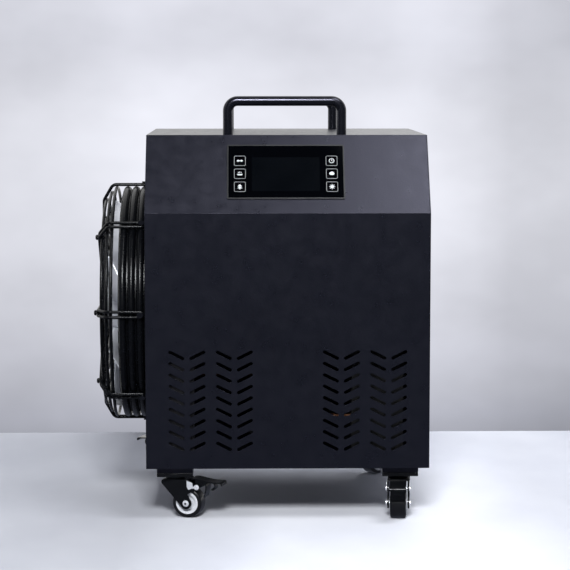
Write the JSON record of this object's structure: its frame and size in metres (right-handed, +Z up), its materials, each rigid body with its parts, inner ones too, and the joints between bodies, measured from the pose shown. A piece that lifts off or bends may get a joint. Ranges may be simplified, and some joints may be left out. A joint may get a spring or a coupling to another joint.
{
  "type": "ice bath chiller",
  "caption": "Free-standing water chiller: dark sheet-metal cabinet on braked castors with a side condenser fan, sloping display panel and two bar handles.",
  "frame": {"origin": "centre of the footprint at floor level, under the middle of the whole chiller", "axes": "+Z up, +Y from the control panel to the rear panel, +X from the fan side to the other side"},
  "size_m": [0.4752, 0.4849, 0.598],
  "materials": {
    "black_plastic": "moulded black plastic",
    "board_green": "circuit board",
    "castor_black": "black coated pressed steel",
    "compressor_paint": "black painted steel shell",
    "copper": "bare copper tube",
    "display_glass": "black display window",
    "fan_metal": "dark coated sheet metal",
    "fin_aluminium": "finned aluminium core",
    "gloss_enamel": "glossy black enamel",
    "hose_rubber": "ribbed black hose",
    "insulation": "black foam insulation",
    "powder_coat": "fine textured black powder coat with a cool cast",
    "rim_white": "pale wheel centre",
    "tyre_rubber": "black rubber tread",
    "zinc_steel": "bright zinc plate"
  },
  "bodies": {
    "root": {"base_pan": "powder_coat", "castor_pads": "powder_coat", "circulation_pump": "black_plastic", "compressor": "compressor_paint", "compressor_feet": "tyre_rubber", "condenser": "fin_aluminium", "control_board": "board_green", "copper_pipes": "copper", "cord_gland": "black_plastic", "display_bezel": "black_plastic", "display_glass": "display_glass", "fan_guard": "gloss_enamel", "fan_motor": "fan_metal", "fan_shroud": "gloss_enamel", "front_handle": "gloss_enamel", "front_left_plate": "castor_black", "front_panel": "powder_coat", "front_right_plate": "castor_black", "guard_bolts": "gloss_enamel", "guard_screws": "gloss_enamel", "handle_screws": "gloss_enamel", "heat_exchanger": "insulation", "left_side_panel": "powder_coat", "panel_screws": "gloss_enamel", "rear_handle": "gloss_enamel", "rear_left_plate": "castor_black", "rear_panel": "powder_coat", "rear_right_plate": "castor_black", "right_side_panel": "powder_coat", "top_panel": "powder_coat", "water_hoses": "hose_rubber", "water_inlet": "black_plastic", "water_outlet": "black_plastic"},
    "front_left_swivel": {"front_left_fork": "castor_black", "front_left_bolts": "zinc_steel"},
    "front_left_roller": {"front_left_wheel": "rim_white", "front_left_tyre": "tyre_rubber"},
    "front_left_lever": {"front_left_brake": "castor_black"},
    "front_right_swivel": {"front_right_fork": "castor_black", "front_right_bolts": "zinc_steel"},
    "front_right_roller": {"front_right_wheel": "rim_white", "front_right_tyre": "tyre_rubber"},
    "front_right_lever": {"front_right_brake": "castor_black"},
    "rear_left_swivel": {"rear_left_fork": "castor_black", "rear_left_bolts": "zinc_steel"},
    "rear_left_roller": {"rear_left_wheel": "rim_white", "rear_left_tyre": "tyre_rubber"},
    "rear_left_lever": {"rear_left_brake": "castor_black"},
    "rear_right_swivel": {"rear_right_fork": "castor_black", "rear_right_bolts": "zinc_steel"},
    "rear_right_roller": {"rear_right_wheel": "rim_white", "rear_right_tyre": "tyre_rubber"},
    "rear_right_lever": {"rear_right_brake": "castor_black"},
    "fan": {"fan_impeller": "fan_metal"}
  },
  "joints": [
    {"name": "front_left_swivel", "type": "hinge", "parent": "root", "child": "front_left_swivel", "pos_m": [-0.1224, -0.16875, 0.058], "axis": [0, 0, 1], "continuous": true},
    {"name": "front_left_roll", "type": "hinge", "parent": "front_left_swivel", "child": "front_left_roller", "pos_m": [-0.1028, -0.17474, 0.0215], "axis": [0.2924, 0.9563, 0], "continuous": true},
    {"name": "front_left_brake", "type": "hinge", "parent": "front_left_swivel", "child": "front_left_lever", "pos_m": [-0.0875, -0.17942, 0.0455], "axis": [0.2924, 0.9563, 0], "range_deg": [0, 14]},
    {"name": "front_right_swivel", "type": "hinge", "parent": "root", "child": "front_right_swivel", "pos_m": [0.1976, -0.16875, 0.058], "axis": [0, 0, 1], "continuous": true},
    {"name": "front_right_roll", "type": "hinge", "parent": "front_right_swivel", "child": "front_right_roller", "pos_m": [0.19546, -0.18914, 0.0215], "axis": [0.9945, -0.1045, 0], "continuous": true},
    {"name": "front_right_brake", "type": "hinge", "parent": "front_right_swivel", "child": "front_right_lever", "pos_m": [0.19379, -0.20505, 0.0455], "axis": [0.9945, -0.1045, 0], "range_deg": [0, 14]},
    {"name": "rear_left_swivel", "type": "hinge", "parent": "root", "child": "rear_left_swivel", "pos_m": [-0.1224, 0.15325, 0.058], "axis": [0, 0, 1], "continuous": true},
    {"name": "rear_left_roll", "type": "hinge", "parent": "rear_left_swivel", "child": "rear_left_roller", "pos_m": [-0.14166, 0.16026, 0.0215], "axis": [-0.342, -0.9397, 0], "continuous": true},
    {"name": "rear_left_brake", "type": "hinge", "parent": "rear_left_swivel", "child": "rear_left_lever", "pos_m": [-0.1567, 0.16573, 0.0455], "axis": [-0.342, -0.9397, 0], "range_deg": [0, 14]},
    {"name": "rear_right_swivel", "type": "hinge", "parent": "root", "child": "rear_right_swivel", "pos_m": [0.1976, 0.15325, 0.058], "axis": [0, 0, 1], "continuous": true},
    {"name": "rear_right_roll", "type": "hinge", "parent": "rear_right_swivel", "child": "rear_right_roller", "pos_m": [0.18237, 0.13953, 0.0215], "axis": [0.6691, -0.7431, 0], "continuous": true},
    {"name": "rear_right_brake", "type": "hinge", "parent": "rear_right_swivel", "child": "rear_right_lever", "pos_m": [0.17047, 0.12883, 0.0455], "axis": [0.6691, -0.7431, 0], "range_deg": [0, 14]},
    {"name": "fan_spin", "type": "hinge", "parent": "root", "child": "fan", "pos_m": [-0.1624, -0.00775, 0.291], "axis": [1, 0, 0], "continuous": true}
  ]
}
